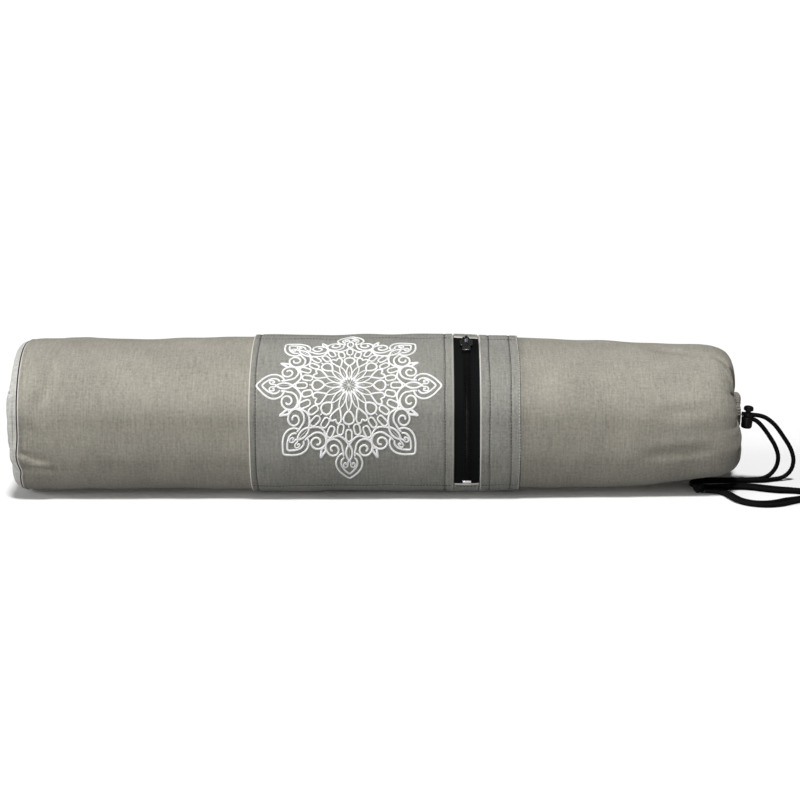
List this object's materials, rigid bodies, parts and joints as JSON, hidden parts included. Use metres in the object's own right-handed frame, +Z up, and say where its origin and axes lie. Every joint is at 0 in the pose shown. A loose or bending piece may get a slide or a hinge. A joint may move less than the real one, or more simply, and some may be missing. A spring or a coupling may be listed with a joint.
{
  "type": "yoga mat bag",
  "caption": "Long round canvas drawstring bag for a rolled yoga mat, lying filled, with a front zip pocket, embroidered mandala, gathered mouth, cord lock and drawcord",
  "frame": {"origin": "on the floor under the middle of the bag, without its cords and cord lock", "axes": "+X along the bag towards the gathered mouth, -Y out of the pocket side, +Z up"},
  "size_m": [0.7811, 0.2095, 0.1498],
  "materials": {
    "canvas": "plain-woven warm grey cotton canvas",
    "end_canvas": "the same canvas, paler where it faces the light",
    "pocket_canvas": "the same weave in a slightly darker, cooler grey",
    "zip_tape": "black woven tape",
    "zip_teeth": "black coil teeth",
    "gunmetal": "dark plated zip hardware",
    "white_metal": "bright metal stop",
    "lock_plastic": "black moulded plastic",
    "cord": "black braided cord"
  },
  "bodies": {
    "bag": {"canvas_sleeve": "canvas", "end_panel": "end_canvas", "end_band": "end_canvas", "mouth_casing": "canvas", "pocket_panel": "pocket_canvas", "pocket_strip": "pocket_canvas", "zip_tab_top": "pocket_canvas", "zip_tab_bottom": "pocket_canvas", "zip_tape_left": "zip_tape", "zip_tape_right": "zip_tape", "zip_coil": "zip_teeth", "zip_slider": "gunmetal", "zip_bottom_stop": "white_metal", "lock_barrel": "lock_plastic", "drawcord_outer": "cord", "drawcord_inner": "cord", "cord_knot": "cord"},
    "pull": {"zip_pull": "gunmetal"},
    "button": {"lock_button": "lock_plastic"}
  },
  "joints": [
    {"name": "pull_hinge", "type": "hinge", "parent": "bag", "child": "pull", "pos_m": [0.086, -0.02752, 0.14608], "axis": [-1, 0, 0], "range_deg": [0, 150]},
    {"name": "button_slide", "type": "slide", "parent": "bag", "child": "button", "axis": [-0.1045, 0, -0.9945], "range_m": [0, 0.002], "stiffness_N_per_m": 400, "springref_m": -0.002}
  ]
}
